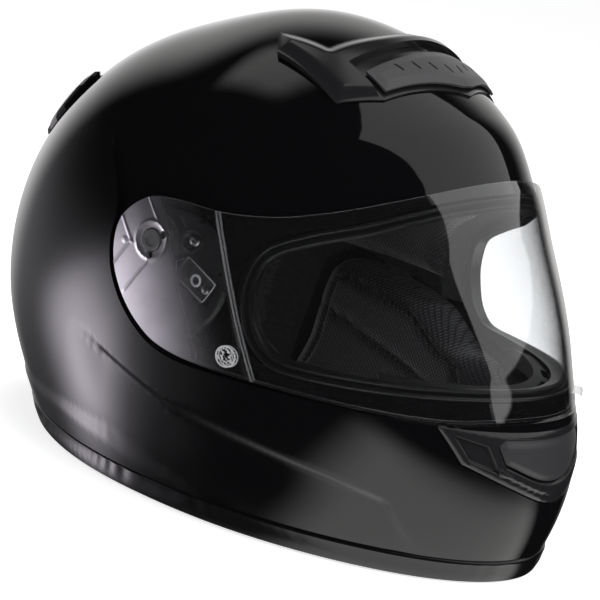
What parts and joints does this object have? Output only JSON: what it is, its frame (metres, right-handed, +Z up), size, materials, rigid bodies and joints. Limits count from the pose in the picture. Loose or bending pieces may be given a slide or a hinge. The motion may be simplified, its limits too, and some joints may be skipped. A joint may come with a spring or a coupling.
{
  "type": "motorcycle helmet",
  "caption": "Full-face motorcycle helmet with a clear hinged visor on side pivots, sliding crown vent, tilting chin vent, padded lining and chin strap.",
  "frame": {"origin": "middle of the helmet's footprint, on the surface that its rim rests on", "axes": "-Y is the front (face) of the helmet, -X the wearer's right, +Z up; the visor's pivot axis is parallel to X"},
  "size_m": [0.2552, 0.3493, 0.2557],
  "materials": {
    "gloss_shell": "clear-coated gloss black",
    "rubber_trim": "moulded rubber, low sheen",
    "foam_core": "painted moulded bead foam",
    "lining_cloth": "brushed and perforated mesh cloth over foam",
    "clear_visor": "polished clear moulding",
    "dark_plastic": "satin moulded plastic",
    "matt_grey": "fine textured matt plastic",
    "steel_parts": "plated steel",
    "webbing": "woven strap",
    "red_lever": "satin red plastic"
  },
  "bodies": {
    "helmet": {"buckle_body": "steel_parts", "buckle_pin": "steel_parts", "cheek_pad_base_left": "foam_core", "cheek_pad_base_right": "foam_core", "cheek_pad_left": "lining_cloth", "cheek_pad_right": "lining_cloth", "chin_bar_liner": "foam_core", "chin_deflector": "dark_plastic", "chin_vent_frame": "gloss_shell", "crown_pad": "lining_cloth", "eps_liner": "foam_core", "eyeport_seal": "rubber_trim", "lock_spring_left": "steel_parts", "lock_spring_right": "steel_parts", "neck_roll": "lining_cloth", "outer_shell": "gloss_shell", "rear_vent_left": "gloss_shell", "rear_vent_right": "gloss_shell", "rim_trim": "rubber_trim", "strap_anchor_left": "steel_parts", "strap_anchor_right": "steel_parts", "strap_left": "webbing", "strap_pad_left": "lining_cloth", "strap_pad_right": "lining_cloth", "strap_right": "webbing", "strap_rivet_left": "steel_parts", "strap_rivet_right": "steel_parts", "strap_tongue": "dark_plastic", "top_vent_base": "gloss_shell", "visor_base_left": "dark_plastic", "visor_base_right": "dark_plastic", "visor_screw_left_1": "steel_parts", "visor_screw_left_2": "steel_parts", "visor_screw_right_1": "steel_parts", "visor_screw_right_2": "steel_parts"},
    "visor": {"visor": "clear_visor"},
    "lock_right": {"visor_lock_right": "clear_visor", "lock_pin_right": "steel_parts"},
    "lock_left": {"visor_lock_left": "clear_visor", "lock_pin_left": "steel_parts"},
    "top_vent": {"top_vent_slider": "matt_grey"},
    "chin_flap": {"chin_vent_flap": "matt_grey"},
    "buckle_lever": {"buckle_lever": "red_lever"}
  },
  "joints": [
    {"name": "visor_hinge", "type": "hinge", "parent": "helmet", "child": "visor", "pos_m": [0, 0.0108, 0.134], "axis": [-1, 0, 0], "range_deg": [0, 58]},
    {"name": "lock_right_slide", "type": "slide", "parent": "helmet", "child": "lock_right", "axis": [0, -0.9174, -0.3979], "range_m": [0, 0.003], "stiffness_N_per_m": 600},
    {"name": "lock_left_slide", "type": "slide", "parent": "helmet", "child": "lock_left", "axis": [0, -0.9174, -0.3979], "range_m": [0, 0.003], "stiffness_N_per_m": 600},
    {"name": "top_vent_slide", "type": "hinge", "parent": "helmet", "child": "top_vent", "pos_m": [0, -0.0052, 0.125], "axis": [-1, 0, 0], "range_deg": [0, 2.4]},
    {"name": "chin_flap_tilt", "type": "hinge", "parent": "helmet", "child": "chin_flap", "pos_m": [0, -0.1632, 0.0795], "axis": [1, 0, 0], "range_deg": [0, 6]},
    {"name": "buckle_lever_hinge", "type": "hinge", "parent": "helmet", "child": "buckle_lever", "pos_m": [0.012, 0.0038, 0.009], "axis": [0, -1, 0], "range_deg": [0, 70], "stiffness_Nm_per_rad": 0.05}
  ]
}
